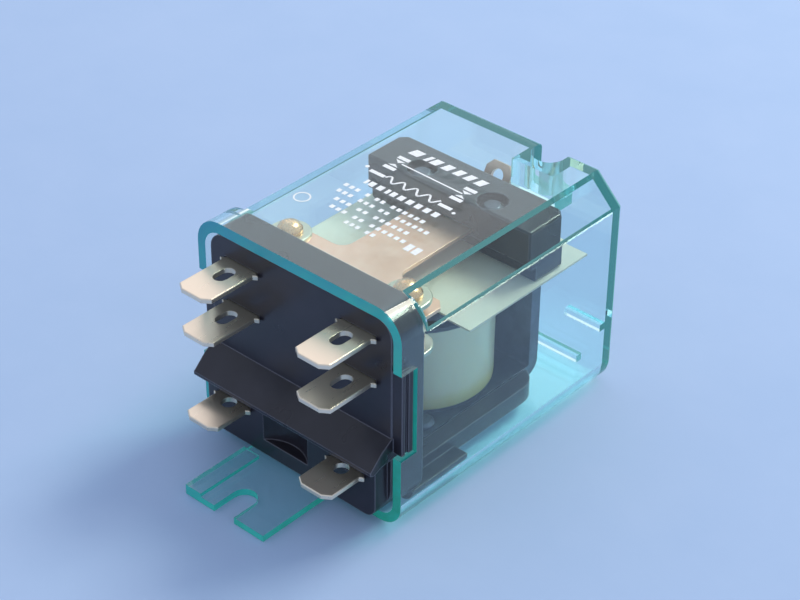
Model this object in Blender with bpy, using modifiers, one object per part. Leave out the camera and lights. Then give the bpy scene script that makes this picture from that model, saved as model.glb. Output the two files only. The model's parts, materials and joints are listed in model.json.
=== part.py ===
"""Plug-in power relay with a clear cover. Lengths are in millimetres and become metres in the meshes.

Frame: X runs across the terminal face, +Y from the cover's open rim to its far end, +Z up.
The origin is on the cover's flat bottom, in the middle of the rim.
"""

import math

import bmesh
import bpy
from mathutils import Matrix, Vector

MM = 0.001
GAP = 0.1

# Cover
CASE_W = 39.0
CASE_H = 36.3
CASE_D = 48.0
CASE_R = 4.5
CASE_LOW_R = 4.0
BAND_D = 5.0
WALL = 1.5
TOP_WALL = 1.8
INNER_X = CASE_W / 2 - WALL
INNER_TOP = CASE_H - TOP_WALL
INNER_R = CASE_R - WALL
INNER_LOW_R = CASE_LOW_R - WALL
INNER_LEG = CASE_R - WALL * (2 - math.sqrt(2))
FAR_CHAMFER = 0.7

# Mounting tab of the cover
TAB_LEFT = -8.7
TAB_RIGHT = 6.9
TAB_OUT = 14.6
TAB_T = 1.1
TAB_RIB_W = 3.1
TAB_RIB_H = 0.6
TAB_RIB_START = 2.9
SLOT_LEFT = -2.9
SLOT_RIGHT = 1.1
SLOT_X = (SLOT_LEFT + SLOT_RIGHT) / 2
SLOT_R = (SLOT_RIGHT - SLOT_LEFT) / 2
SLOT_END = 8.6

# Latch notch in each side wall, and the base's lug in it
NOTCH_D = 3.2
NOTCH_LOW = 12.3
NOTCH_HIGH = 26.8
LUG_GAP = 0.4
LUG_OUT = 19.1
LUG_GROOVE = 0.35

# Pocket in the cover's far top edge, and the ribs on its far wall
POCKET_LEFT = 4.2
POCKET_RIGHT = 9.6
POCKET_FRONT = 43.6
POCKET_FLOOR = 30.0
POCKET_WALL = 1.2
RIB_T = 1.2
LOW_RIB_Z = 3.8
LOW_RIB_X = 14.0
HIGH_RIB_Z = 11.5
HIGH_RIB_INNER = 11.2

# Base
BASE_X = 17.3
BASE_FRONT = 0.4
BASE_BACK = 6.0
BASE_LOW = WALL + 0.3
BASE_TOP = INNER_TOP - 0.3
BASE_TOP_R = 2.8
BASE_LOW_R = 4.0
FOOT_FRONT = -2.1
FOOT_TOP = 12.6
FOOT_X = 16.6
FOOT_R = 2.0
SHELF_X = 17.5
SHELF_ROOT = 2.0
SHELF_TOP = 15.1
SHELF_UNDER = 11.5
SHELF_UPPER = ((0.3, SHELF_TOP), (-1.7, 13.8))
SHELF_LIP = ((-4.0, 11.6), (-4.0, 11.1), (-3.3, 10.8), (-1.7, SHELF_UNDER))
BLOCK_TOP = 4.0
BLOCK_BACK = 15.8
BLOCK_R = 2.0
FLOOR_X = 14.8
FLOOR_LOW = 3.0
FLOOR_TOP = 5.8
FLOOR_BACK = 35.5
FLOOR_R = 4.0
RIVET_BORE_R = 2.0
SCOOP_R = 6.2
SCOOP_Y = -6.4
SCOOP_LOW = 4.4
SCOOP_TOP = 10.2

# Blades
BLADE_W = 6.35
BLADE_T = 0.8
BLADE_X = 11.2
BLADE_OUT = 9.3
BLADE_TIP_X = 1.3
BLADE_TIP_Y = 0.9
UPPER_Z = 30.9
LOWER_Z = 23.6
COIL_Z = 8.7
HOLE_Y = -2.9
HOLE_W = 2.2
HOLE_L = 3.6
EYE_Y = HOLE_Y - 0.3
EYE_R = 1.2
BLADE_EDGE = 0.12
COIL_TAG = 2.4
BARB_OUT = 0.7
BARB_Y = 0.9

# Contacts
CONTACT_Y = 10.2
SHANK_R = 1.1
CONTACT_R = 1.9
BRIDGE_TOP = 28.4
BRIDGE_T = 0.6
UPPER_FACE = 29.1
LOWER_FACE = 25.1
MOVING_HIGH = UPPER_FACE - GAP
MOVING_LOW = 26.7
DOME_TOP = 32.6

# Coil, on a vertical axis
COIL_Y = 24.4
TAPE_R = 11.4
TAPE_T = 0.35
FLANGE_R = 11.6
FLANGE_LOW = 5.95
FLANGE_T = 0.6
FLANGE_TOP = 21.1
TUBE_R = 4.6
BORE_R = 3.7
CORE_R = 3.5
POLE_R = 5.5
POLE_TOP = 22.0

# Yoke
YOKE_X = 11.8
YOKE_T = 2.0
YOKE_LOW = FLOOR_TOP - YOKE_T + 0.1
YOKE_FRONT = 12.6
POST_FRONT = 36.3
POST_TOP = 23.0
EAR_W = 1.8
EAR_TOP = 24.2
HOOK_Y = 41.8
HOOK_X = 2.2
HOOK_Z = 8.2
HOOK_T = 1.2
HOOK_HOLE_R = 0.7
FRAME_RIVET_X = 9.5
FRAME_RIVET_Y = 14.9

# Armature and what rides on it
HINGE_Y = POST_FRONT
HINGE_Z = POST_TOP + GAP / 2
ARM_X = 11.0
ARM_FRONT = 15.2
ARM_BACK = 40.4
ARM_LOW = POST_TOP + GAP
ARM_T = 1.2
ARM_TAIL = 43.2
SHEET_X = 16.3
SHEET_FRONT = 16.8
SHEET_BACK = 43.2
SHEET_LOW = ARM_LOW + ARM_T + 0.05
SHEET_T = 0.3
CARRIER_X = 15.5
CARRIER_FRONT = 31.0
CARRIER_BACK = 39.2
CARRIER_LOW = SHEET_LOW + SHEET_T + GAP
CARRIER_STEP = 27.2
CARRIER_TOP = 32.8
CARRIER_CHAMFER = 1.2
CARRIER_EDGE = 0.3
RIVET_X = 6.8
RIVET_Y = 33.6
RIVET_R = 1.0
RECESS_R = 2.4
RECESS_D = 1.6
STEM_X = 5.1
BAR_X = 13.9
BAR_FRONT = 7.0
BAR_BACK = 14.8
BAR_CUT = 1.2
TAIL_X = 2.45
TAIL_TIP_X = 1.45
TAIL_BEND = 42.2
TAIL_TILT = math.radians(60)
TAIL_LENGTH = 4.4
TAIL_HOLE_R = 1.1
TAIL_EYE = 2.3

# Return spring and coil leads
SPRING_R = 1.6
SPRING_WIRE_R = 0.25
SPRING_TURNS = 7
TURN_STEPS = 14
HOOK_SHANK = 1.2
HOOK_TURN = 0.35
HOOK_REACH = 1.1
LEAD_R = 0.35

ROUND = 40
SMALL_ROUND = 24
SMOOTH_ANGLE = math.radians(35)
BEVEL_ANGLE = math.radians(60)
FLAT_ANGLE = math.radians(0.5)
WELD = 2e-6
STANDING = {
    "X": (math.pi / 2, 0, math.pi / 2),
    "Y": (math.pi / 2, 0, 0),
    "Z": (0, 0, 0),
}


def collection(name, hidden=False):
    made = bpy.data.collections.new(name)
    made.hide_render = hidden
    bpy.context.scene.collection.children.link(made)
    return made


def material(name, colour, roughness, metallic=0.0, alpha=1.0):
    made = bpy.data.materials.new(name)
    made.use_nodes = True
    shader = made.node_tree.nodes["Principled BSDF"]
    shader.inputs["Base Color"].default_value = (*colour, 1.0)
    shader.inputs["Roughness"].default_value = roughness
    shader.inputs["Metallic"].default_value = metallic
    shader.inputs["Alpha"].default_value = alpha
    made.diffuse_color = (*colour, alpha)
    return made


def arc(x, y, radius, start, end, steps):
    """Points on an arc, angles in degrees, both ends included."""
    angles = [math.radians(start + (end - start) * i / steps) for i in range(steps + 1)]
    return [(x + radius * math.cos(a), y + radius * math.sin(a)) for a in angles]


def rounded(left, low, right, high, radii, steps=6):
    """Anticlockwise outline of a rectangle, its corner radii given from the low left one on."""
    corners = (
        (left, low, 1, 1, 180),
        (right, low, -1, 1, 270),
        (right, high, -1, -1, 0),
        (left, high, 1, -1, 90),
    )
    points = []
    for (x, y, to_x, to_y, start), radius in zip(corners, radii):
        points += arc(x + to_x * radius, y + to_y * radius, radius, start, start + 90, steps)
    return points


def dressed(name, mesh, look, into):
    """An object from a mesh, with outward faces and smooth round sides."""
    shape = bmesh.new()
    shape.from_mesh(mesh)
    bmesh.ops.recalc_face_normals(shape, faces=shape.faces)
    shape.to_mesh(mesh)
    shape.free()
    mesh.shade_smooth()
    mesh.set_sharp_from_angle(angle=SMOOTH_ANGLE)
    mesh.materials.clear()
    if look:
        mesh.materials.append(look)
    made = bpy.data.objects.new(name, mesh)
    (into or cutters).objects.link(made)
    return made


def prism(name, outline, axis, low, high, look=None, into=None):
    """A flat outline, drawn as a filled 2D curve and extruded along an axis from low to high."""
    curve = bpy.data.curves.new(name, "CURVE")
    curve.dimensions = "2D"
    curve.fill_mode = "BOTH"
    curve.extrude = (high - low) / 2 * MM
    spline = curve.splines.new("POLY")
    spline.points.add(len(outline) - 1)
    for target, (across, up) in zip(spline.points, outline):
        target.co = (across * MM, up * MM, 0, 1)
    spline.use_cyclic_u = True
    drawn = bpy.data.objects.new(name, curve)
    mesh = bpy.data.meshes.new_from_object(drawn)
    bpy.data.objects.remove(drawn)
    shape = bmesh.new()
    shape.from_mesh(mesh)
    bmesh.ops.remove_doubles(shape, verts=shape.verts, dist=WELD)
    bmesh.ops.dissolve_limit(shape, angle_limit=FLAT_ANGLE, verts=shape.verts, edges=shape.edges)
    shape.to_mesh(mesh)
    shape.free()
    made = dressed(name, mesh, look, into)
    made.rotation_euler = STANDING[axis]
    made.location["XYZ".index(axis)] = (low + high) / 2 * MM
    return made


def cylinder(name, x, y, radius, low, high, steps=SMALL_ROUND):
    """An upright cylinder."""
    shape = bmesh.new()
    depth = (high - low) * MM
    bmesh.ops.create_cone(
        shape, cap_ends=True, segments=steps, radius1=radius * MM, radius2=radius * MM, depth=depth
    )
    mesh = bpy.data.meshes.new(name)
    shape.to_mesh(mesh)
    shape.free()
    made = dressed(name, mesh, None, None)
    made.location = Vector((x, y, (low + high) / 2)) * MM
    return made


def block(name, x, y, z):
    """A plain box from three (low, high) ranges."""
    shape = bmesh.new()
    size = Vector((x[1] - x[0], y[1] - y[0], z[1] - z[0])) * MM
    bmesh.ops.create_cube(shape, size=1, matrix=Matrix.Diagonal((*size, 1)))
    mesh = bpy.data.meshes.new(name)
    shape.to_mesh(mesh)
    shape.free()
    made = dressed(name, mesh, None, None)
    made.location = Vector((sum(x), sum(y), sum(z))) / 2 * MM
    return made


def turned(name, profile, x, y, look=None, into=None, steps=SMALL_ROUND):
    """A (radius, z) profile, given up its outer side, turned about an upright axis."""
    mesh = bpy.data.meshes.new(name)
    edges = [(i, i + 1) for i in range(len(profile) - 1)]
    if profile[0][0]:
        edges.append((len(profile) - 1, 0))
    mesh.from_pydata([(radius * MM, 0, z * MM) for radius, z in reversed(profile)], edges, [])
    drawn = bpy.data.objects.new(name, mesh)
    relay.objects.link(drawn)
    screw = drawn.modifiers.new("turn", "SCREW")
    screw.steps = steps
    screw.render_steps = steps
    screw.use_merge_vertices = True
    screw.merge_threshold = WELD
    bpy.context.view_layer.update()
    graph = bpy.context.evaluated_depsgraph_get()
    whole = bpy.data.meshes.new_from_object(drawn.evaluated_get(graph))
    bpy.data.objects.remove(drawn)
    made = dressed(name, whole, look, into)
    made.location = Vector((x, y, 0)) * MM
    return made


def strip(points, thickness):
    """Outline of a bent strip whose first side runs through the points."""
    lines = [Vector(b) - Vector(a) for a, b in zip(points, points[1:])]
    normals = [Vector((-line.y, line.x)).normalized() for line in lines]
    bends = [(a + b) / (1 + a.dot(b)) for a, b in zip(normals, normals[1:])]
    ends = [normals[0]] + bends + [normals[-1]]
    far_side = [Vector(p) + n * thickness for p, n in zip(points, ends)]
    return list(points) + [tuple(p) for p in reversed(far_side)]


def bevelled(target, width, segments=1):
    bevel = target.modifiers.new("edges", "BEVEL")
    bevel.width = width * MM
    bevel.segments = segments
    bevel.limit_method = "ANGLE"
    bevel.angle_limit = BEVEL_ANGLE


def boolean(target, tool, operation):
    modifier = target.modifiers.new(tool.name, "BOOLEAN")
    modifier.operation = operation
    modifier.solver = "EXACT"
    modifier.object = tool
    tool.display_type = "WIRE"
    tool.hide_render = True


def cut(target, *tools):
    for tool in tools:
        boolean(target, tool, "DIFFERENCE")


def join(target, *tools):
    for tool in tools:
        boolean(target, tool, "UNION")


def mirrored(span, side):
    return (span[0], span[1]) if side > 0 else (-span[1], -span[0])


def wire(name, points, radius, look, cyclic=False):
    curve = bpy.data.curves.new(name, "CURVE")
    curve.dimensions = "3D"
    curve.bevel_depth = radius * MM
    curve.bevel_resolution = 2
    curve.use_fill_caps = True
    spline = curve.splines.new("POLY")
    spline.points.add(len(points) - 1)
    for target, point in zip(spline.points, points):
        target.co = (*(Vector(point) * MM), 1.0)
    spline.use_smooth = True
    curve.materials.append(look)
    made = bpy.data.objects.new(name, curve)
    relay.objects.link(made)
    return made


def chamfer_far_rim(cover):
    """The outline was drawn upright and faces -Y, so its far rim is at the mesh's lowest local Z."""
    shape = bmesh.new()
    shape.from_mesh(cover.data)
    far = -CASE_D / 2 * MM + WELD
    rim = [edge for edge in shape.edges if all(vert.co.z < far for vert in edge.verts)]
    bmesh.ops.bevel(shape, geom=rim, offset=FAR_CHAMFER * MM, segments=2, profile=0.5, affect="EDGES")
    shape.to_mesh(cover.data)
    shape.free()


def make_tab():
    """The mounting ear: a plate with an open slot for the screw, and a rib along its left side."""
    outline = [(TAB_LEFT, 2), (TAB_LEFT, -TAB_OUT), (SLOT_LEFT, -TAB_OUT)]
    outline += arc(SLOT_X, -SLOT_END - SLOT_R, SLOT_R, 180, 0, 10)
    outline += [(SLOT_RIGHT, -TAB_OUT), (TAB_RIGHT, -TAB_OUT), (TAB_RIGHT, 2)]
    plate = prism("tab_plate", outline, "Z", 0, TAB_T)
    rib_x = (TAB_LEFT, TAB_LEFT + TAB_RIB_W)
    rib = block("tab_rib", rib_x, (-TAB_OUT, -TAB_RIB_START), (TAB_T / 2, TAB_T + TAB_RIB_H))
    return plate, rib


def make_far_ribs():
    inner_far = CASE_D - WALL
    reach = (inner_far - RIB_T, inner_far + WALL / 2)
    low = block("low_rib", (-LOW_RIB_X, LOW_RIB_X), reach, (LOW_RIB_Z - RIB_T, LOW_RIB_Z))
    high = []
    for side, label in SIDES:
        span = mirrored((HIGH_RIB_INNER, INNER_X + WALL / 2), side)
        high.append(block(f"high_rib_{label}", span, reach, (HIGH_RIB_Z - RIB_T, HIGH_RIB_Z)))
    return (low, *high)


def cup_outline(left, low, right, high, low_r, high_r, high_steps):
    """Cross section of the cover: round lower corners, and upper ones cut at 45 degrees by one step."""
    lower = rounded(left, low, right, high, (low_r,) * 4, 8)
    upper = rounded(left, low, right, high, (high_r,) * 4, high_steps)
    return lower[: len(lower) // 2] + upper[len(upper) // 2 :]


def make_cover():
    """A deep cup: its upper long edges are round in the band at its rim and cut flat behind it."""
    half = CASE_W / 2
    body = cup_outline(-half, 0, half, CASE_H, CASE_LOW_R, CASE_R, 1)
    band = cup_outline(-half, 0, half, CASE_H, CASE_LOW_R, CASE_R, 8)
    cover = prism("cover", body, "Y", 0, CASE_D, clear_plastic, relay)
    chamfer_far_rim(cover)
    join(cover, prism("band", band, "Y", 0, BAND_D), *make_tab())
    cavity = cup_outline(-INNER_X, WALL, INNER_X, INNER_TOP, INNER_LOW_R, INNER_LEG, 1)
    mouth = cup_outline(-INNER_X, WALL, INNER_X, INNER_TOP, INNER_LOW_R, INNER_R, 8)
    cut(cover, prism("cavity", cavity, "Y", -1, CASE_D - WALL))
    cut(cover, prism("mouth", mouth, "Y", -1, BASE_BACK + 4 * GAP))
    boss_x = (POCKET_LEFT - POCKET_WALL, POCKET_RIGHT + POCKET_WALL)
    boss_y = (POCKET_FRONT - POCKET_WALL, CASE_D - WALL / 2)
    boss_z = (POCKET_FLOOR - POCKET_WALL, CASE_H - TOP_WALL / 2)
    join(cover, block("pocket_boss", boss_x, boss_y, boss_z), *make_far_ribs())
    pocket_r = (POCKET_RIGHT - POCKET_LEFT) / 2 - GAP
    pocket = rounded(POCKET_LEFT, POCKET_FRONT, POCKET_RIGHT, CASE_D + 4, (pocket_r,) * 4)
    cut(cover, prism("pocket", pocket, "Z", POCKET_FLOOR, CASE_H + 1))
    for side, label in SIDES:
        notch_x = mirrored((INNER_X - 1, half + 1), side)
        cut(cover, block(f"notch_{label}", notch_x, (-1, NOTCH_D), (NOTCH_LOW, NOTCH_HIGH)))


def make_base():
    front = rounded(-BASE_X, BASE_LOW, BASE_X, BASE_TOP, (BASE_LOW_R,) * 2 + (BASE_TOP_R,) * 2)
    base = prism("base", front, "Y", BASE_FRONT, BASE_BACK, black_plastic, relay)
    foot = rounded(-FOOT_X, BASE_LOW, FOOT_X, FOOT_TOP, (FOOT_R,) * 2 + (GAP,) * 2)
    shelf = [(SHELF_ROOT, SHELF_TOP), *SHELF_UPPER, *SHELF_LIP, (SHELF_ROOT, SHELF_UNDER)]
    block_behind = rounded(-BASE_X, BASE_LOW, BASE_X, BLOCK_TOP, (BLOCK_R,) * 2 + (GAP,) * 2)
    floor = rounded(-FLOOR_X, BASE_BACK - 2, FLOOR_X, FLOOR_BACK, (GAP,) * 2 + (FLOOR_R,) * 2)
    join(
        base,
        prism("base_foot", foot, "Y", FOOT_FRONT, BASE_FRONT + 2),
        prism("shelf", shelf, "X", -SHELF_X, SHELF_X),
        prism("base_block", block_behind, "Y", BASE_BACK - 2, BLOCK_BACK),
        prism("base_floor", floor, "Z", FLOOR_LOW, FLOOR_TOP),
    )
    for side, label in SIDES:
        lug_z = (NOTCH_LOW + LUG_GAP, NOTCH_HIGH - LUG_GAP)
        lug_x = mirrored((BASE_X - 1, LUG_OUT), side)
        join(base, block(f"lug_{label}", lug_x, (BASE_FRONT + 0.2, NOTCH_D - LUG_GAP), lug_z))
        groove_x = mirrored((LUG_OUT - LUG_GROOVE, LUG_OUT + 1), side)
        groove_y = (NOTCH_D / 2 - LUG_GROOVE, NOTCH_D / 2 + LUG_GROOVE)
        cut(base, block(f"groove_{label}", groove_x, groove_y, (lug_z[0] - 1, lug_z[1] + 1)))
    cut(base, cylinder("scoop", SLOT_X, SCOOP_Y, SCOOP_R, SCOOP_LOW, SCOOP_TOP, ROUND))
    for side, _ in SIDES:
        for row, top in (("upper", UPPER_Z), ("lower", LOWER_Z), ("coil", COIL_Z)):
            centre = side * BLADE_X
            slot_x = (centre - BLADE_W / 2 - GAP, centre + BLADE_W / 2 + GAP)
            slot_y = (FOOT_FRONT - 1, BASE_BACK + 1)
            slot_z = (top - BLADE_T - GAP, top + GAP)
            cut(base, block(f"slot_{row}_{side}", slot_x, slot_y, slot_z))
        rivet_at = (side * FRAME_RIVET_X, FRAME_RIVET_Y)
        cut(
            base,
            cylinder(f"frame_hole_{side}", *rivet_at, RIVET_R + GAP, FLOOR_LOW - 1, FLOOR_TOP + 1),
            cylinder(f"rivet_bore_{side}", *rivet_at, RIVET_BORE_R, BASE_LOW - 1, FLOOR_LOW),
        )
    seat_x = YOKE_X + 2 * GAP
    seat_y = (YOKE_FRONT - 2 * GAP, FLOOR_BACK + 2)
    cut(base, block("yoke_seat", (-seat_x, seat_x), seat_y, (YOKE_LOW - GAP, FLOOR_TOP + 2)))


def blade_outline(centre, root, back, round_back):
    """Plan of one blade: chamfered tip, small staking barbs at the root, square or round inner end."""
    half = BLADE_W / 2
    tip = half - BLADE_TIP_X
    right = [(tip, -BLADE_OUT), (half, -BLADE_OUT + BLADE_TIP_Y)]
    right += [(half, root - BARB_Y), (half + BARB_OUT, root - BARB_Y / 2), (half, root - GAP)]
    if round_back:
        end = arc(0, back, half, 0, 180, 14)
    else:
        end = [(half, back), (-half, back)]
    left = [(-x, y) for x, y in reversed(right)]
    return [(centre + x, y) for x, y in right + end + left]


def make_blade(name, side, top, root, back, round_back):
    """The edges are chamfered a little, so that they catch the light."""
    outline = blade_outline(side * BLADE_X, root, back, round_back)
    blade = prism(name, outline, "Z", top - BLADE_T, top, tinned, relay)
    bevelled(blade, BLADE_EDGE)
    return blade


def make_terminals():
    half_l = HOLE_L / 2
    half_w = HOLE_W / 2
    corners = (half_w - WELD / MM,) * 4
    for side, label in SIDES:
        centre = side * BLADE_X
        slot = rounded(centre - half_w, HOLE_Y - half_l, centre + half_w, HOLE_Y + half_l, corners, 5)
        for row, top in (("upper", UPPER_Z), ("lower", LOWER_Z)):
            blade = make_blade(f"terminal_{row}_{label}", side, top, BASE_FRONT, CONTACT_Y, True)
            cut(blade, prism(f"blade_slot_{row}_{label}", slot, "Z", top - 2, top + 1))
            shank_name = f"blade_shank_{row}_{label}"
            cut(blade, cylinder(shank_name, centre, CONTACT_Y, SHANK_R + GAP, top - 2, top + 1))
        coil_back = BASE_BACK + COIL_TAG
        blade = make_blade(f"terminal_coil_{label}", side, COIL_Z, FOOT_FRONT, coil_back, False)
        cut(blade, cylinder(f"blade_eye_{label}", centre, EYE_Y, EYE_R, COIL_Z - 2, COIL_Z + 1))


def make_contacts():
    """Fixed contact rivets in the terminals and moving ones in the bridge, each with two heads."""
    for side, label in SIDES:
        x = side * BLADE_X
        upper = [
            (0, UPPER_FACE), (CONTACT_R - 0.2, UPPER_FACE), (CONTACT_R, UPPER_FACE + 0.2),
            (CONTACT_R, UPPER_Z - BLADE_T - GAP / 2), (SHANK_R, UPPER_Z - BLADE_T - GAP / 2),
            (SHANK_R, UPPER_Z + GAP / 2), (CONTACT_R, UPPER_Z + GAP / 2), (CONTACT_R, UPPER_Z + 0.6),
            (CONTACT_R * 0.8, DOME_TOP - 0.5), (CONTACT_R * 0.45, DOME_TOP - 0.1), (0, DOME_TOP),
        ]
        turned(f"fixed_contact_upper_{label}", upper, x, CONTACT_Y, brass, relay)
        low = LOWER_Z - BLADE_T - GAP / 2
        lower = [
            (0, low - 0.7), (SHANK_R, low - 0.7), (CONTACT_R, low - 0.4), (CONTACT_R, low),
            (SHANK_R, low), (SHANK_R, LOWER_Z + GAP / 2), (CONTACT_R, LOWER_Z + GAP / 2),
            (CONTACT_R, LOWER_FACE - 0.2), (CONTACT_R - 0.2, LOWER_FACE), (0, LOWER_FACE),
        ]
        turned(f"fixed_contact_lower_{label}", lower, x, CONTACT_Y, brass, relay)
        under = BRIDGE_TOP - BRIDGE_T - GAP / 2
        over = BRIDGE_TOP + GAP / 2
        moving = [
            (0, MOVING_LOW), (CONTACT_R - 0.3, MOVING_LOW), (CONTACT_R - 0.1, MOVING_LOW + 0.2),
            (CONTACT_R - 0.1, under), (SHANK_R, under), (SHANK_R, over), (CONTACT_R - 0.1, over),
            (CONTACT_R - 0.1, MOVING_HIGH - 0.15), (CONTACT_R - 0.3, MOVING_HIGH), (0, MOVING_HIGH),
        ]
        turned(f"moving_contact_{label}", moving, x, CONTACT_Y, copper, relay)


def make_coil():
    bobbin = [
        (BORE_R, FLANGE_LOW), (FLANGE_R - 0.3, FLANGE_LOW), (FLANGE_R - 0.3, FLANGE_LOW + FLANGE_T),
        (TUBE_R, FLANGE_LOW + FLANGE_T), (TUBE_R, FLANGE_TOP - FLANGE_T),
        (FLANGE_R, FLANGE_TOP - FLANGE_T), (FLANGE_R, FLANGE_TOP), (BORE_R, FLANGE_TOP),
    ]
    turned("bobbin", bobbin, 0, COIL_Y, black_plastic, relay, ROUND)
    low = FLANGE_LOW + FLANGE_T + GAP
    high = FLANGE_TOP - FLANGE_T - GAP
    wound = TAPE_R - TAPE_T - GAP
    winding = [(TUBE_R + GAP, low), (wound, low), (wound, high), (TUBE_R + GAP, high)]
    turned("coil_winding", winding, 0, COIL_Y, enamel, relay, ROUND)
    tape = [(wound + GAP, low), (TAPE_R, low), (TAPE_R, high), (wound + GAP, high)]
    turned("coil_tape", tape, 0, COIL_Y, cream_tape, relay, ROUND + 16)
    core = [
        (0, YOKE_LOW), (CORE_R, YOKE_LOW), (CORE_R, FLANGE_TOP + GAP), (POLE_R, FLANGE_TOP + GAP),
        (POLE_R, POLE_TOP - 0.2), (POLE_R - 0.2, POLE_TOP), (0, POLE_TOP),
    ]
    turned("core", core, 0, COIL_Y, steel, relay, ROUND)
    for side, label in SIDES:
        start = (side * (BLADE_X - 2.0), BASE_BACK + 1.6, COIL_Z + LEAD_R + GAP)
        low_z = FLOOR_TOP + LEAD_R + 3 * GAP
        rise = FLANGE_LOW + 4
        points = [
            start, (side * (BLADE_X - 2.6), BASE_BACK + 3.2, COIL_Z + LEAD_R + GAP),
            (side * 7.6, BASE_BACK + 5.0, COIL_Z), (side * 7.2, 12.4, low_z + 1.2),
            (side * 6.9, 13.6, rise - 1.4), (side * 6.6, 14.6, rise),
        ]
        wire(f"coil_lead_{label}", points, LEAD_R, copper)


def make_yoke():
    low, top = YOKE_LOW, FLOOR_TOP
    back = POST_FRONT + YOKE_T
    bend = YOKE_T + 0.4
    side = [(YOKE_FRONT, top), (YOKE_FRONT, low)]
    side += arc(back - bend, low + bend, bend, 270, 360, 6)
    side += [(back, POST_TOP), (POST_FRONT, POST_TOP)]
    side += arc(POST_FRONT - 0.4, top + 0.4, 0.4, 0, -90, 3)
    yoke = prism("yoke", side, "X", -YOKE_X, YOKE_X, steel, relay)
    tab = block("spring_tab", (-HOOK_X, HOOK_X), (back - 1, HOOK_Y + 1.4), (HOOK_Z - HOOK_T, HOOK_Z))
    ears = []
    for sign, label in SIDES:
        ear_x = mirrored((YOKE_X - EAR_W, YOKE_X - 0.1), sign)
        ear_y = (POST_FRONT + GAP, back - GAP)
        ears.append(block(f"ear_{label}", ear_x, ear_y, (POST_TOP - 1, EAR_TOP)))
    join(yoke, tab, *ears)
    cut(yoke, cylinder("hook_hole", 0, HOOK_Y, HOOK_HOLE_R, HOOK_Z - 3, HOOK_Z + 1))
    cut(yoke, cylinder("core_hole", 0, COIL_Y, CORE_R + GAP, low - 1, top + 1, ROUND))
    for sign, label in SIDES:
        rivet_at = (sign * FRAME_RIVET_X, FRAME_RIVET_Y)
        cut(yoke, cylinder(f"yoke_hole_{label}", *rivet_at, RIVET_R + GAP, low - 1, top + 1))
        under = FLOOR_LOW - GAP / 2
        over = FLOOR_TOP + GAP / 2
        rivet = [
            (0, under - 0.8), (1.4, under - 0.8), (1.7, under - 0.5), (1.7, under), (RIVET_R, under),
            (RIVET_R, over), (1.7, over), (1.7, over + 0.4), (1.2, over + 0.8), (0, over + 0.9),
        ]
        turned(f"frame_rivet_{label}", rivet, *rivet_at, steel, relay)


def rivet_hole(target, side, low, high):
    """A hole for one of the two rivets that hold the armature, the sheet and the carrier together."""
    tool = cylinder(f"{target.name}_hole_{side}", side * RIVET_X, RIVET_Y, RIVET_R + GAP, low, high)
    cut(target, tool)


def make_armature():
    tail = [(HOOK_X, ARM_BACK), (HOOK_X, ARM_TAIL), (-HOOK_X, ARM_TAIL), (-HOOK_X, ARM_BACK)]
    nose = 1.6
    front = [(-ARM_X, ARM_FRONT + nose), (-ARM_X + nose, ARM_FRONT)]
    front += [(ARM_X - nose, ARM_FRONT), (ARM_X, ARM_FRONT + nose)]
    outline = front + [(ARM_X, ARM_BACK)] + tail + [(-ARM_X, ARM_BACK)]
    plate = prism("armature", outline, "Z", ARM_LOW, ARM_LOW + ARM_T, steel, relay)
    for side, label in SIDES:
        notch_x = mirrored((YOKE_X - EAR_W - 3 * GAP, YOKE_X + 1), side)
        notch_y = (POST_FRONT - 2 * GAP, POST_FRONT + YOKE_T + 2 * GAP)
        cut(plate, block(f"ear_notch_{label}", notch_x, notch_y, (ARM_LOW - 1, ARM_LOW + ARM_T + 1)))
        rivet_hole(plate, side, ARM_LOW - 1, ARM_LOW + ARM_T + 1)
    cut(plate, cylinder("tail_hole", 0, HOOK_Y, HOOK_HOLE_R, ARM_LOW - 1, ARM_LOW + ARM_T + 1))


def make_sheet():
    """A plain sheet with a notch in its back edge, round the spring's upper hook."""
    slot = HOOK_X + 0.3
    slot_end = ARM_BACK - 0.4
    right = [(SHEET_X, SHEET_FRONT), (SHEET_X, SHEET_BACK), (slot, SHEET_BACK), (slot, slot_end)]
    outline = right + [(-x, y) for x, y in reversed(right)]
    sheet = prism("insulating_sheet", outline, "Z", SHEET_LOW, SHEET_LOW + SHEET_T, milky, relay)
    for side, _ in SIDES:
        rivet_hole(sheet, side, SHEET_LOW - 1, SHEET_LOW + 1)


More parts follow.
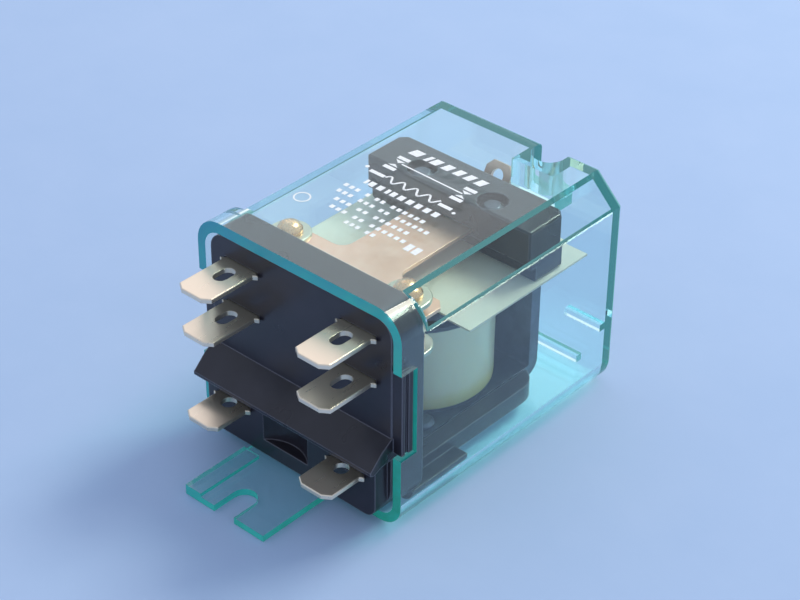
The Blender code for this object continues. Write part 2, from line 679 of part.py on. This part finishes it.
def make_carrier():
    c = CARRIER_CHAMFER
    front = [(-CARRIER_X, CARRIER_FRONT), (CARRIER_X, CARRIER_FRONT)]
    back = [(CARRIER_X, CARRIER_BACK - c), (CARRIER_X - c, CARRIER_BACK)]
    outline = front + back + [(-x, y) for x, y in reversed(back)]
    carrier = prism("contact_carrier", outline, "Z", CARRIER_LOW, CARRIER_TOP, black_plastic, relay)
    bevelled(carrier, CARRIER_EDGE)
    step_y = (CARRIER_FRONT - 1, RIVET_Y - RIVET_R - 0.4)
    cut(carrier, block("carrier_step", (-20, 20), step_y, (CARRIER_LOW - 1, CARRIER_STEP)))
    slot_z = (BRIDGE_TOP - BRIDGE_T - GAP, BRIDGE_TOP + GAP)
    slot_x = (-STEM_X - GAP, STEM_X + GAP)
    cut(carrier, block("bridge_slot", slot_x, (CARRIER_FRONT - 1, CARRIER_BACK + 1), slot_z))
    for side, label in SIDES:
        floor = CARRIER_TOP - RECESS_D
        recess = cylinder(f"recess_{label}", side * RIVET_X, RIVET_Y, RECESS_R, floor, CARRIER_TOP + 1)
        cut(carrier, recess)
        rivet_hole(carrier, side, CARRIER_LOW - 1, CARRIER_TOP + 1)
        under = ARM_LOW - GAP / 2
        over = floor + GAP / 2
        rivet = [
            (0, under - 0.7), (1.3, under - 0.7), (1.6, under - 0.4), (1.6, under), (RIVET_R, under),
            (RIVET_R, over), (1.8, over), (1.8, over + 0.5), (1.2, over + 1.0), (0, over + 1.1),
        ]
        turned(f"carrier_rivet_{label}", rivet, side * RIVET_X, RIVET_Y, steel, relay)


def make_bridge():
    """One stamped T: a cross bar over the contacts, a stem through the carrier and a bent tail."""
    fillet = 2.0
    right = [(BAR_X - BAR_CUT, BAR_FRONT), (BAR_X, BAR_FRONT + BAR_CUT)]
    right += [(BAR_X, BAR_BACK - BAR_CUT), (BAR_X - BAR_CUT, BAR_BACK)]
    right += arc(STEM_X + fillet, BAR_BACK + fillet, fillet, 270, 180, 5)
    right += [(STEM_X, CARRIER_BACK + 0.4), (TAIL_X, CARRIER_BACK + 0.8)]
    right += [(TAIL_X, TAIL_BEND - 0.3)]
    outline = right + [(-x, y) for x, y in reversed(right)]
    low = BRIDGE_TOP - BRIDGE_T
    bridge = prism("bridge_blade", outline, "Z", low, BRIDGE_TOP, copper, relay)
    rise = (math.cos(TAIL_TILT), math.sin(TAIL_TILT))
    tip = (TAIL_BEND + TAIL_LENGTH * rise[0], low + TAIL_LENGTH * rise[1])
    side = strip([(TAIL_BEND - 1.0, low), (TAIL_BEND, low), tip], BRIDGE_T)
    tail = prism("bridge_tail", side, "X", -TAIL_X, TAIL_X)
    join(bridge, tail)
    for sign, label in SIDES:
        hole_name = f"bridge_hole_{label}"
        hole_x = sign * BLADE_X
        cut(bridge, cylinder(hole_name, hole_x, CONTACT_Y, SHANK_R + GAP, low - 1, BRIDGE_TOP + 1))
        corner = [(TAIL_TIP_X, 0), (TAIL_X + 2, -3.4), (TAIL_X + 2, 1)]
        corner = [(sign * x, TAIL_LENGTH + y) for x, y in corner]
        wedge = prism(f"tail_corner_{label}", corner, "Z", -3, 3)
        lay_on_tail(wedge, low)
        cut(bridge, wedge)
    eye = cylinder("tail_eye", 0, TAIL_EYE, TAIL_HOLE_R, -3, 3)
    lay_on_tail(eye, low)
    cut(bridge, eye)


def lay_on_tail(tool, low):
    """Turns a cutter made flat, with Y along the tail, onto the tail's slope."""
    flat = Matrix.Translation(tool.location)
    tilt = Matrix.Rotation(TAIL_TILT, 4, "X")
    tool.matrix_world = Matrix.Translation(Vector((0, TAIL_BEND, low)) * MM) @ tilt @ flat


def make_spring():
    foot = HOOK_Z - HOOK_T - SPRING_WIRE_R - GAP
    head = ARM_LOW + ARM_T + SPRING_WIRE_R + GAP
    start = HOOK_Z + HOOK_SHANK
    end = ARM_LOW - HOOK_SHANK
    steps = TURN_STEPS * SPRING_TURNS
    points = [(HOOK_REACH, HOOK_Y, foot), (HOOK_TURN, HOOK_Y, foot)]
    points += [(0, HOOK_Y, foot + HOOK_TURN), (0, HOOK_Y, start - HOOK_TURN)]
    for i in range(steps + 1):
        angle = 2 * math.pi * SPRING_TURNS * i / steps
        z = start + (end - start) * i / steps
        points.append((SPRING_R * math.cos(angle), HOOK_Y + SPRING_R * math.sin(angle), z))
    points += [(0, HOOK_Y, end + HOOK_TURN), (0, HOOK_Y, head - HOOK_TURN)]
    points += [(-HOOK_TURN, HOOK_Y, head), (-HOOK_REACH, HOOK_Y, head)]
    return wire("return_spring", points, SPRING_WIRE_R, spring_steel)


def ride_on_hinge():
    """The moving pieces hang from an empty on the hinge axis."""
    hinge = bpy.data.objects.new("armature_hinge", None)
    hinge.location = Vector((0, HINGE_Y, HINGE_Z)) * MM
    relay.objects.link(hinge)
    for name in MOVING:
        piece = bpy.data.objects[name]
        piece.parent = hinge
        piece.matrix_parent_inverse = Matrix.Translation(-hinge.location)


SIDES = ((-1, "left"), (1, "right"))
MOVING = (
    "armature", "insulating_sheet", "contact_carrier", "bridge_blade", "moving_contact_left",
    "moving_contact_right", "carrier_rivet_left", "carrier_rivet_right",
)

for leftover in list(bpy.data.objects):
    bpy.data.objects.remove(leftover)

relay = collection("plug_in_relay")
cutters = collection("cutters", hidden=True)

clear_plastic = material("clear_plastic", (0.55, 0.84, 0.86), 0.08, alpha=0.3)
black_plastic = material("black_plastic", (0.02, 0.02, 0.03), 0.4)
tinned = material("tinned_brass", (0.72, 0.66, 0.52), 0.22, 1.0)
brass = material("contact_brass", (0.80, 0.60, 0.32), 0.25, 1.0)
copper = material("copper", (0.72, 0.45, 0.30), 0.3, 1.0)
steel = material("dark_steel", (0.16, 0.17, 0.20), 0.4, 1.0)
spring_steel = material("spring_steel", (0.55, 0.55, 0.57), 0.25, 1.0)
enamel = material("enamelled_wire", (0.50, 0.20, 0.08), 0.35, 0.4)
cream_tape = material("cream_tape", (0.75, 0.73, 0.55), 0.35)
milky = material("milky_sheet", (0.80, 0.83, 0.76), 0.45)

make_cover()
make_base()
make_terminals()
make_contacts()
make_coil()
make_yoke()
make_armature()
make_sheet()
make_carrier()
make_bridge()
make_spring()
ride_on_hinge()
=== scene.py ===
"""Looks for the plug-in relay: materials, printed marks, stage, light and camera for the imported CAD."""

import json
import math

import bmesh
import bpy
from mathutils import Matrix, Vector


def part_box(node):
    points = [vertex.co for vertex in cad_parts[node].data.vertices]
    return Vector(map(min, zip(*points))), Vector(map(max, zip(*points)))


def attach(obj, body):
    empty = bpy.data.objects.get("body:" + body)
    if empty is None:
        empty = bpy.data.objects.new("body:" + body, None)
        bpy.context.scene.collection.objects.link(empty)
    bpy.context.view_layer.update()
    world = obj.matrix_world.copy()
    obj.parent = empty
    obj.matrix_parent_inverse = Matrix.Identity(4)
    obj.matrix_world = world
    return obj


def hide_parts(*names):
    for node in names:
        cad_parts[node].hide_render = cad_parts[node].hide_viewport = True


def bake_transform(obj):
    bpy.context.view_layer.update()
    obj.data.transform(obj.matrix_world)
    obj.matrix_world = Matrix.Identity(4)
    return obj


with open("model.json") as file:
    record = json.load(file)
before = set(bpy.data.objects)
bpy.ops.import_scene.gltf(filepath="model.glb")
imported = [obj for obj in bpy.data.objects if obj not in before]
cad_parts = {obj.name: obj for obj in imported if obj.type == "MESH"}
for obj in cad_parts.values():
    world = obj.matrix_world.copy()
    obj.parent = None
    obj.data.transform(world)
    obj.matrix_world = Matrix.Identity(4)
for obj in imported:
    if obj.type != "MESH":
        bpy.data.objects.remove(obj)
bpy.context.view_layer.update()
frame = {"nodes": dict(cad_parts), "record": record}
nodes = frame["nodes"]
MM = 0.001


# ---------------------------------------------------------------- node helpers

class Look:
    """A material and short ways to add nodes to it."""

    def __init__(self, name):
        self.material = bpy.data.materials.new(name)
        self.material.use_nodes = True
        self.tree = self.material.node_tree
        self.shader = self.tree.nodes["Principled BSDF"]
        self.output = self.tree.nodes["Material Output"]
        self.place = self.add("ShaderNodeTexCoord").outputs["Object"]

    def add(self, kind, **settings):
        node = self.tree.nodes.new(kind)
        for key, value in settings.items():
            setattr(node, key, value)
        return node

    def link(self, source, target):
        self.tree.links.new(source, target)

    def set(self, **values):
        for key, value in values.items():
            self.shader.inputs[key.replace("_", " ")].default_value = value

    def scaled(self, scale):
        """Object coordinates in units of the given size along each axis."""
        mapping = self.add("ShaderNodeMapping")
        mapping.inputs["Scale"].default_value = scale
        self.link(self.place, mapping.inputs["Vector"])
        return mapping.outputs["Vector"]

    def noise(self, scale, detail=4.0, rough=0.55, stretch=(1, 1, 1), distortion=0.0):
        node = self.add("ShaderNodeTexNoise")
        node.inputs["Scale"].default_value = scale
        node.inputs["Detail"].default_value = detail
        node.inputs["Roughness"].default_value = rough
        node.inputs["Distortion"].default_value = distortion
        self.link(self.scaled(stretch), node.inputs["Vector"])
        return node.outputs["Fac"]

    def ramp(self, source, *stops):
        """Colours at positions 0 to 1 of the source."""
        node = self.add("ShaderNodeValToRGB")
        elements = node.color_ramp.elements
        while len(elements) < len(stops):
            elements.new(0.5)
        for element, (position, colour) in zip(elements, stops):
            element.position = position
            element.color = (*colour, 1.0) if len(colour) == 3 else colour
        self.link(source, node.inputs["Fac"])
        return node.outputs["Color"]

    def span(self, source, low, high, to_low=0.0, to_high=1.0):
        node = self.add("ShaderNodeMapRange")
        node.inputs["From Min"].default_value = low
        node.inputs["From Max"].default_value = high
        node.inputs["To Min"].default_value = to_low
        node.inputs["To Max"].default_value = to_high
        self.link(source, node.inputs["Value"])
        return node.outputs["Result"]

    def axis(self, name):
        split = self.add("ShaderNodeSeparateXYZ")
        self.link(self.place, split.inputs["Vector"])
        return split.outputs[name]

    def mix(self, factor, first, second, blend="MIX"):
        node = self.add("ShaderNodeMix", data_type="RGBA", blend_type=blend)
        sockets = (node.inputs[0], node.inputs[6], node.inputs[7])
        for value, socket in zip((factor, first, second), sockets):
            if isinstance(value, bpy.types.NodeSocket):
                self.link(value, socket)
            elif isinstance(value, (int, float)):
                socket.default_value = value
            else:
                socket.default_value = (*value, 1.0)
        return node.outputs[2]

    def math(self, operation, first, second):
        node = self.add("ShaderNodeMath", operation=operation)
        for value, socket in ((first, node.inputs[0]), (second, node.inputs[1])):
            if isinstance(value, (int, float)):
                socket.default_value = value
            else:
                self.link(value, socket)
        return node.outputs["Value"]

    def highlight_edge_mask(self, radius):
        """1 on convex and concave edges and 0 on flat faces, from a Bevel node's normal; the mask of the
        painted edge highlight.
        """
        bevel = self.add("ShaderNodeBevel", samples=6)
        bevel.inputs["Radius"].default_value = radius
        plain = self.add("ShaderNodeNewGeometry").outputs["Normal"]
        turn = self.add("ShaderNodeVectorMath", operation="DOT_PRODUCT")
        self.link(bevel.outputs["Normal"], turn.inputs[0])
        self.link(plain, turn.inputs[1])
        return self.span(turn.outputs["Value"], 0.995, 0.85)

    def normal(self, height, strength, distance, edge=0.0):
        """Bump from a height, on top of edges rounded by a Bevel node."""
        bump = self.add("ShaderNodeBump")
        bump.inputs["Strength"].default_value = strength
        bump.inputs["Distance"].default_value = distance
        self.link(height, bump.inputs["Height"])
        if edge:
            bevel = self.add("ShaderNodeBevel", samples=4)
            bevel.inputs["Radius"].default_value = edge
            self.link(bevel.outputs["Normal"], bump.inputs["Normal"])
        self.link(bump.outputs["Normal"], self.shader.inputs["Normal"])


# ---------------------------------------------------------------- materials

# The cover's edges with painted light piping: depths along Y in metres, how strongly the painted glow
# shows, and from which bounce on.
RIM_BAND = 0.0050
RIM_FADE = 0.0002
TAB_FADE = (-0.0001, -0.0003)
FAR_EDGE = (0.043, 0.046)
EDGE_GLOW = 0.22
DEEP_GLOW = 0.24
DEEP_BOUNCE = 3.5
FAR_RIM_SHARE = 0.75


def clear_cover():
    """Clear plastic with a blue-green tint. The rim, the tab's sides and the far edges get a painted teal
    colour and glow, and hits after a few bounces a painted teal glow, standing in for light piped along
    the walls.
    """
    look = Look("clear_cover")
    facing = look.add("ShaderNodeSeparateXYZ")
    look.link(look.add("ShaderNodeNewGeometry").outputs["True Normal"], facing.inputs["Vector"])
    depth = look.axis("Y")
    to_front = look.span(facing.outputs["Y"], -0.75, -0.85)
    front_face = look.math("MULTIPLY", to_front, look.span(depth, RIM_BAND + RIM_FADE, RIM_BAND))
    upright = look.span(look.math("ABSOLUTE", facing.outputs["Z"], 0.0), 0.5, 0.4)
    tab_side = look.math("MULTIPLY", upright, look.span(depth, *TAB_FADE))
    lean = look.math("ABSOLUTE", facing.outputs["Y"], 0.0)
    far_rim = look.math("MULTIPLY", look.span(lean, 0.1, 0.2), look.span(lean, 0.98, 0.95))
    near_edges = look.math("MAXIMUM", front_face, tab_side)
    edge = look.math("MAXIMUM", near_edges, look.math("MULTIPLY", far_rim, FAR_RIM_SHARE))
    across = look.math("SUBTRACT", look.axis("X"), look.axis("Z"))
    cloud = look.noise(250, 3.0, 0.55)
    along = look.math("ADD", look.span(across, -0.055, 0.019), look.span(cloud, 0.3, 0.7, -0.12, 0.12))
    # Painted light: a teal colour and glow on the rim, the tab's sides and the far edges stand in for
    # light piped along the walls; it varies across X - Z with noise
    painted_piped_light = look.ramp(
        along,
        (0.0, (0.035, 0.25, 0.36)),
        (0.45, (0.03, 0.33, 0.36)),
        (0.75, (0.03, 0.42, 0.36)),
        (1.0, (0.02, 0.30, 0.22)),
    )
    look.link(look.mix(edge, (0.97, 0.992, 0.992), painted_piped_light), look.shader.inputs["Base Color"])
    look.set(IOR=1.5, Specular_IOR_Level=0.36)
    look.link(look.span(edge, 0.0, 1.0, 1.0, 0.3), look.shader.inputs["Transmission Weight"])
    rays = look.add("ShaderNodeLightPath")
    # Painted glow: every cover hit after DEEP_BOUNCE bounces emits teal, standing in for light lost when
    # rays run out of bounces inside the walls
    deep = look.math("GREATER_THAN", rays.outputs["Ray Depth"], DEEP_BOUNCE)
    inner_glow = look.mix(look.span(depth, *FAR_EDGE), (0.26, 0.42, 0.44), (0.12, 0.36, 0.40))
    look.link(look.mix(deep, painted_piped_light, inner_glow), look.shader.inputs["Emission Color"])
    deep_glow = look.math("MULTIPLY", deep, DEEP_GLOW)
    glow = look.math("ADD", look.span(edge, 0.0, 1.0, 0.0, EDGE_GLOW), deep_glow)
    look.link(glow, look.shader.inputs["Emission Strength"])
    haze = look.span(look.noise(420, 4.0, 0.6), 0.5, 0.8, 0.0, 0.05)
    matt = look.math("ADD", haze, look.span(edge, 0.0, 1.0, 0.005, 0.18))
    look.link(matt, look.shader.inputs["Roughness"])
    scratches = look.noise(900, 3.0, 0.6, (1, 0.06, 1))
    relief = look.math("ADD", look.noise(160, 2.0, 0.4), look.math("MULTIPLY", scratches, 0.1))
    look.normal(relief, 0.02, 0.0002)
    absorb = look.add("ShaderNodeVolumeAbsorption")
    absorb.inputs["Color"].default_value = (0.06, 0.82, 0.82, 1.0)
    absorb.inputs["Density"].default_value = 72.0
    look.link(absorb.outputs["Volume"], look.output.inputs["Volume"])
    see_through = look.add("ShaderNodeBsdfTransparent")
    see_through.inputs["Color"].default_value = (0.85, 0.92, 0.87, 1.0)
    pick = look.add("ShaderNodeMixShader")
    look.link(rays.outputs["Is Shadow Ray"], pick.inputs[0])
    look.link(look.shader.outputs["BSDF"], pick.inputs[1])
    look.link(see_through.outputs["BSDF"], pick.inputs[2])
    look.link(pick.outputs["Shader"], look.output.inputs["Surface"])
    return look.material


def black_moulding():
    look = Look("black_moulding")
    grain = look.noise(1400, 5.0, 0.65)
    cloud = look.noise(120, 3.0, 0.5)
    colour = look.ramp(cloud, (0.35, (0.016, 0.014, 0.021)), (0.7, (0.030, 0.027, 0.038)))
    # Painted highlight: edges are lightened towards a pale grey, standing in for light caught on the
    # rounded edges
    painted_edge_highlight = look.mix(look.highlight_edge_mask(0.0003), colour, (0.17, 0.17, 0.21))
    look.link(painted_edge_highlight, look.shader.inputs["Base Color"])
    look.link(look.span(cloud, 0.3, 0.7, 0.26, 0.38), look.shader.inputs["Roughness"])
    look.set(IOR=1.5)
    look.normal(grain, 0.10, 0.00006, 0.0003)
    return look.material


def tinned_blade():
    look = Look("tinned_blade")
    depth = look.axis("Y")
    cloud = look.noise(260, 4.0, 0.6, distortion=0.4)
    # Darker towards the roots along Y: a painted reflection of the dark base near the roots, with lighter
    # tips; the noise adds uneven tone
    place = look.math("ADD", look.span(depth, -0.0093, 0.0004), look.span(cloud, 0.3, 0.7, -0.07, 0.07))
    colour = look.ramp(
        place, (0.0, (0.88, 0.76, 0.60)), (0.5, (0.82, 0.73, 0.58)), (1.0, (0.60, 0.55, 0.44))
    )
    look.link(colour, look.shader.inputs["Base Color"])
    look.set(Metallic=0.85)
    rolled = look.noise(2200, 3.0, 0.6, (1, 0.08, 1))
    look.link(look.span(rolled, 0.3, 0.7, 0.27, 0.31), look.shader.inputs["Roughness"])
    look.normal(rolled, 0.01, 0.00001, 0.00015)
    return look.material


def metal(name, dark, light, low, high, grain=1500, stretch=(1, 1, 1), edge=0.00012):
    look = Look(name)
    cloud = look.noise(300, 4.0, 0.6)
    look.link(look.ramp(cloud, (0.3, dark), (0.7, light)), look.shader.inputs["Base Color"])
    look.set(Metallic=1.0)
    fine = look.noise(grain, 3.0, 0.6, stretch)
    look.link(look.span(fine, 0.3, 0.7, low, high), look.shader.inputs["Roughness"])
    look.normal(fine, 0.12, 0.00004, edge)
    return look.material


def coil_film():
    look = Look("coil_film")
    height = look.axis("Z")
    low, high = (corner.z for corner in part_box("coil_tape"))
    up = look.span(height, low, high)
    wrinkle = look.noise(330, 3.0, 0.55, (1, 1, 0.35), 0.6)
    base = look.ramp(
        up,
        (0.0, (0.66, 0.54, 0.18)),
        (0.10, (0.82, 0.70, 0.36)),
        (0.2, (0.88, 0.77, 0.54)),
        (1.0, (0.92, 0.81, 0.60)),
    )
    colour = look.mix(look.span(wrinkle, 0.4, 0.8, 0.0, 0.35), base, (0.95, 0.87, 0.70))
    look.link(colour, look.shader.inputs["Base Color"])
    look.set(Roughness=0.34, IOR=1.46)
    look.shader.inputs["Subsurface Weight"].default_value = 0.15
    look.shader.inputs["Subsurface Scale"].default_value = 0.0006
    look.shader.inputs["Coat Weight"].default_value = 0.3
    look.normal(wrinkle, 0.25, 0.0002)
    return look.material


def milky_film():
    look = Look("milky_film")
    cloud = look.noise(180, 3.0, 0.5)
    colour = look.ramp(cloud, (0.3, (0.92, 0.81, 0.71)), (0.7, (0.98, 0.89, 0.81)))
    look.link(colour, look.shader.inputs["Base Color"])
    look.set(Roughness=0.4, IOR=1.48)
    look.shader.inputs["Transmission Weight"].default_value = 0.35
    look.normal(cloud, 0.2, 0.0002)
    return look.material


def enamel():
    look = Look("enamel")
    rows = look.add("ShaderNodeTexWave", wave_type="BANDS", bands_direction="Z")
    rows.inputs["Scale"].default_value = 900
    look.link(look.place, rows.inputs["Vector"])
    cloud = look.noise(200, 3.0, 0.5)
    colour = look.ramp(cloud, (0.3, (0.36, 0.10, 0.03)), (0.7, (0.52, 0.20, 0.08)))
    look.link(colour, look.shader.inputs["Base Color"])
    look.set(Metallic=0.4, Roughness=0.3)
    look.normal(rows.outputs["Fac"], 0.6, 0.0001)
    return look.material


def white_ink():
    look = Look("white_ink")
    wear = look.noise(2600, 3.0, 0.6)
    colour = look.ramp(wear, (0.3, (0.80, 0.82, 0.84)), (0.65, (0.93, 0.94, 0.95)))
    look.link(colour, look.shader.inputs["Base Color"])
    look.set(Roughness=0.6)
    look.normal(wear, 0.2, 0.00002)
    return look.material


LOOKS = {
    "clear_plastic": clear_cover(),
    "black_plastic": black_moulding(),
    "tinned_brass": tinned_blade(),
    "contact_brass": metal("contact_brass_look", (0.90, 0.46, 0.24), (0.99, 0.62, 0.40), 0.2, 0.32),
    "copper": metal("copper_look", (0.86, 0.47, 0.33), (0.96, 0.59, 0.45), 0.3, 0.42, 1300, (1, 0.1, 1)),
    "dark_steel": metal("dark_steel_look", (0.07, 0.08, 0.10), (0.13, 0.14, 0.18), 0.32, 0.5, 900),
    "spring_steel": metal("spring_steel_look", (0.45, 0.45, 0.47), (0.62, 0.62, 0.64), 0.2, 0.32),
    "enamelled_wire": enamel(),
    "cream_tape": coil_film(),
    "milky_sheet": milky_film(),
}


# ---------------------------------------------------------------- CAD nodes

WELD = 2e-6
SHARP_ANGLE = math.radians(30)


def smoothing_group():
    """Joins the imported triangles and shades them smooth, except across sharp edges."""
    group = bpy.data.node_groups.new("smooth_by_angle", "GeometryNodeTree")
    group.interface.new_socket("Geometry", in_out="INPUT", socket_type="NodeSocketGeometry")
    group.interface.new_socket("Geometry", in_out="OUTPUT", socket_type="NodeSocketGeometry")
    start = group.nodes.new("NodeGroupInput")
    end = group.nodes.new("NodeGroupOutput")
    merge = group.nodes.new("GeometryNodeMergeByDistance")
    merge.inputs["Distance"].default_value = WELD
    faces = group.nodes.new("GeometryNodeSetShadeSmooth")
    faces.domain = "FACE"
    edges = group.nodes.new("GeometryNodeSetShadeSmooth")
    edges.domain = "EDGE"
    edges.inputs["Shade Smooth"].default_value = False
    angle = group.nodes.new("GeometryNodeInputMeshEdgeAngle")
    sharp = group.nodes.new("FunctionNodeCompare")
    sharp.operation = "GREATER_THAN"
    sharp.inputs[1].default_value = SHARP_ANGLE
    group.links.new(start.outputs[0], merge.inputs["Geometry"])
    group.links.new(merge.outputs["Geometry"], faces.inputs["Geometry"])
    group.links.new(faces.outputs["Geometry"], edges.inputs["Geometry"])
    group.links.new(angle.outputs["Unsigned Angle"], sharp.inputs[0])
    group.links.new(sharp.outputs["Result"], edges.inputs["Selection"])
    group.links.new(edges.outputs["Geometry"], end.inputs[0])
    return group


def dress_nodes():
    slots = {part["node"]: part["material_slot"] for part in frame["record"]["subparts"]}
    group = smoothing_group()
    for name, node in nodes.items():
        for slot in node.material_slots:
            slot.material = LOOKS[slots[name]]
        node.modifiers.new("smooth", "NODES").node_group = group
        weighted = node.modifiers.new("flat_sides", "WEIGHTED_NORMAL")
        weighted.mode = "FACE_AREA"
        weighted.keep_sharp = True


dress_nodes()


def stretching_spring():
    """A copy of the return spring, set in world space, in place of the hidden original."""
    node = nodes["return_spring"]
    spring = node.copy()
    spring.name = "stretching_spring"
    spring.data = node.data.copy()
    spring.parent = None
    spring.matrix_world = Matrix.Identity(4)
    bpy.context.scene.collection.objects.link(spring)
    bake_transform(spring)
    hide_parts("return_spring")


stretching_spring()


# ---------------------------------------------------------------- printed marks

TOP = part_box("cover")[1].z
INK = 0.00003
BAR_SHARE = 0.62


def printed(name, shapes):
    """Flat outlines in millimetres, drawn as one thin layer of ink on the cover's top."""
    bm = bmesh.new()
    for outline in shapes:
        base = [bm.verts.new((x * MM, y * MM, TOP + INK / 3)) for x, y in outline]
        face = bm.faces.new(base)
        lifted = bmesh.ops.extrude_face_region(bm, geom=[face])["geom"]
        moved = [item for item in lifted if isinstance(item, bmesh.types.BMVert)]
        bmesh.ops.translate(bm, verts=moved, vec=(0, 0, INK))
    bmesh.ops.recalc_face_normals(bm, faces=bm.faces)
    mesh = bpy.data.meshes.new(name)
    bm.to_mesh(mesh)
    bm.free()
    mesh.materials.append(INK_LOOK)
    piece = bpy.data.objects.new(name, mesh)
    bpy.context.scene.collection.objects.link(piece)
    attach(piece, "housing")


def bar(x0, x1, y, height, slant=0.0):
    half = height / 2
    low, high = y - half, y + half
    return [(x0 - slant, low), (x1 - slant, low), (x1 + slant, high), (x0 + slant, high)]


def text_row(x0, x1, y, height, widths, slant=0.0):
    """A row of short plain bars from x0 to x1, of the given relative widths. A negative one is a space."""
    total = sum(abs(w) for w in widths)
    scale = (x1 - x0) / total
    shapes = []
    x = x0
    for width in widths:
        step = abs(width) * scale
        if width > 0:
            shapes.append(bar(x, x + step * BAR_SHARE, y, height, slant))
        x += step
    return shapes


def disc(x, y, radius, steps=16):
    angles = [2 * math.pi * i / steps for i in range(steps)]
    return [(x + radius * math.cos(a), y + radius * math.sin(a)) for a in angles]


def polyline(points, width):
    """Short overlapping strips along a drawn line."""
    shapes = []
    for (x0, y0), (x1, y1) in zip(points, points[1:]):
        along = Vector((x1 - x0, y1 - y0))
        side = Vector((-along.y, along.x)).normalized() * width / 2
        near = [(x0 - side.x, y0 - side.y), (x1 - side.x, y1 - side.y)]
        far = [(x1 + side.x, y1 + side.y), (x0 + side.x, y0 + side.y)]
        shapes.append(near + far)
    return shapes


INK_LOOK = white_ink()
printed("print_heading", text_row(-8.2, 6.6, 33.0, 1.6, [1.3, 0.5, 1, 1, 0.9, 0.9, 1], 0.25))
printed("print_type_row", text_row(-7.6, 6.9, 22.2, 1.2, [0.5, 1, 1, 0.6, 0.9, 1, 1, 1, 1, 1]))
printed("print_rows", [
    shape
    for x0, x1, y, widths in (
        (-9.3, 6.4, 19.6, [1, 1, 1, -0.8, 1, -0.6, 1, 1, -0.8, 1, 1, 1, 1, 1, 1]),
        (-9.0, 8.7, 17.8, [1, 1, 1, -0.8, 1, 1, 1, -0.6, 1, 1, -0.8, 1, 1, 1, 1, 1, 1]),
        (-7.7, 6.7, 15.9, [1, 1, 1, -0.8, 1, 1, -0.8, 1, 1, 1, 1, 1, 1]),
        (-6.8, 7.8, 14.0, [1, 1, 1, -0.8, 1, 1, -0.8, 1, 1, 1, 1, 1, 1]),
        (-2.4, 3.6, 12.3, [1, 1, 1, -0.8, 1, 1]),
    )
    for shape in text_row(x0, x1, y, 0.8, widths)
])
squiggle = [(-6.2 + 0.35 * i, 24.9 + 0.75 * math.sin(i * 0.9)) for i in range(30)]
printed("print_diagram_line", polyline([(-6.9, 29.2), (4.9, 29.0)], 0.28))
printed("print_diagram_coil", polyline(squiggle, 0.32))
printed("print_diagram_ends", [
    bar(-9.2, -6.4, 24.9, 0.7),
    bar(4.2, 6.6, 24.7, 0.7),
    disc(-10.2, 25.4, 0.35),
    disc(7.4, 24.2, 0.3),
])
printed("print_diagram_contacts", [
    shape
    for x in (-7.6, 5.2)
    for shape in (
        bar(x - 1.1, x + 1.1, 30.5, 0.75),
        [(x - 0.9, 29.8), (x + 0.9, 29.8), (x, 29.1)],
        bar(x - 1.1, x + 1.1, 27.3, 0.75),
        [(x + 0.9, 28.0), (x - 0.9, 28.0), (x, 28.6)],
    )
])
printed("print_mark_left", polyline(disc(-11.3, 12.9, 1.2, 24) + [(-10.1, 12.9)], 0.26))
printed("print_mark_right", [bar(8.2, 9.2, 13.4, 1.7), bar(9.6, 10.6, 13.4, 1.7)])


# ---------------------------------------------------------------- stage, light, camera

def floor():
    look = Look("floor_paper")
    mottle = look.noise(55, 4.0, 0.6)
    cloud = look.math("ADD", look.noise(3.0, 3.0, 0.5), look.span(mottle, 0.3, 0.7, -0.1, 0.1))
    fine = look.noise(900, 4.0, 0.6)
    colour = look.ramp(cloud, (0.3, (0.375, 0.510, 0.745)), (0.7, (0.415, 0.545, 0.775)))
    look.link(colour, look.shader.inputs["Base Color"])
    look.set(Roughness=0.9)
    look.normal(fine, 0.1, 0.0001)
    bm = bmesh.new()
    bmesh.ops.create_grid(bm, x_segments=2, y_segments=2, size=3.0)
    mesh = bpy.data.meshes.new("floor")
    bm.to_mesh(mesh)
    bm.free()
    mesh.materials.append(look.material)
    plane = bpy.data.objects.new("floor", mesh)
    plane.location.z = -0.00005
    bpy.context.scene.collection.objects.link(plane)


def area_light(name, place, target, size, power, colour):
    light = bpy.data.lights.new(name, "AREA")
    light.shape = "RECTANGLE"
    light.size, light.size_y = size
    light.energy = power
    light.color = colour
    lamp = bpy.data.objects.new(name, light)
    lamp.location = place
    aim = Vector(target) - Vector(place)
    lamp.rotation_euler = aim.to_track_quat("-Z", "Y").to_euler()
    bpy.context.scene.collection.objects.link(lamp)


def light_the_scene():
    world = bpy.data.worlds.new("studio")
    world.use_nodes = True
    back = world.node_tree.nodes["Background"]
    back.inputs["Color"].default_value = (0.82, 0.93, 1.14, 1.0)
    back.inputs["Strength"].default_value = 0.66
    bpy.context.scene.world = world
    target = (0, 0.02, 0.015)
    area_light("key", (0.09, 0.42, 0.52), target, (0.22, 0.22), 2.4, (1.0, 0.95, 0.82))
    area_light("card", (-0.42, 0.50, 0.47), target, (0.6, 0.5), 0.55, (1.0, 0.82, 0.74))


def camera():
    lens = bpy.data.cameras.new("camera")
    lens.sensor_width = 36
    lens.lens = 96.62
    lens.clip_start = 0.01
    lens.clip_end = 20
    seen = bpy.data.objects.new("camera", lens)
    right = Vector((0.74210855, 0.67025185, 0.0061112))
    up = Vector((-0.38465033, 0.41838604, 0.82279842))
    back = Vector((0.54892533, -0.61295642, 0.56830046))
    turn = Matrix((right, up, back)).transposed().to_4x4()
    seen.matrix_world = Matrix.Translation((0.172366, -0.171151, 0.197950)) @ turn
    bpy.context.scene.collection.objects.link(seen)
    bpy.context.scene.camera = seen


floor()
light_the_scene()
camera()
bpy.context.scene.view_settings.view_transform = "Standard"
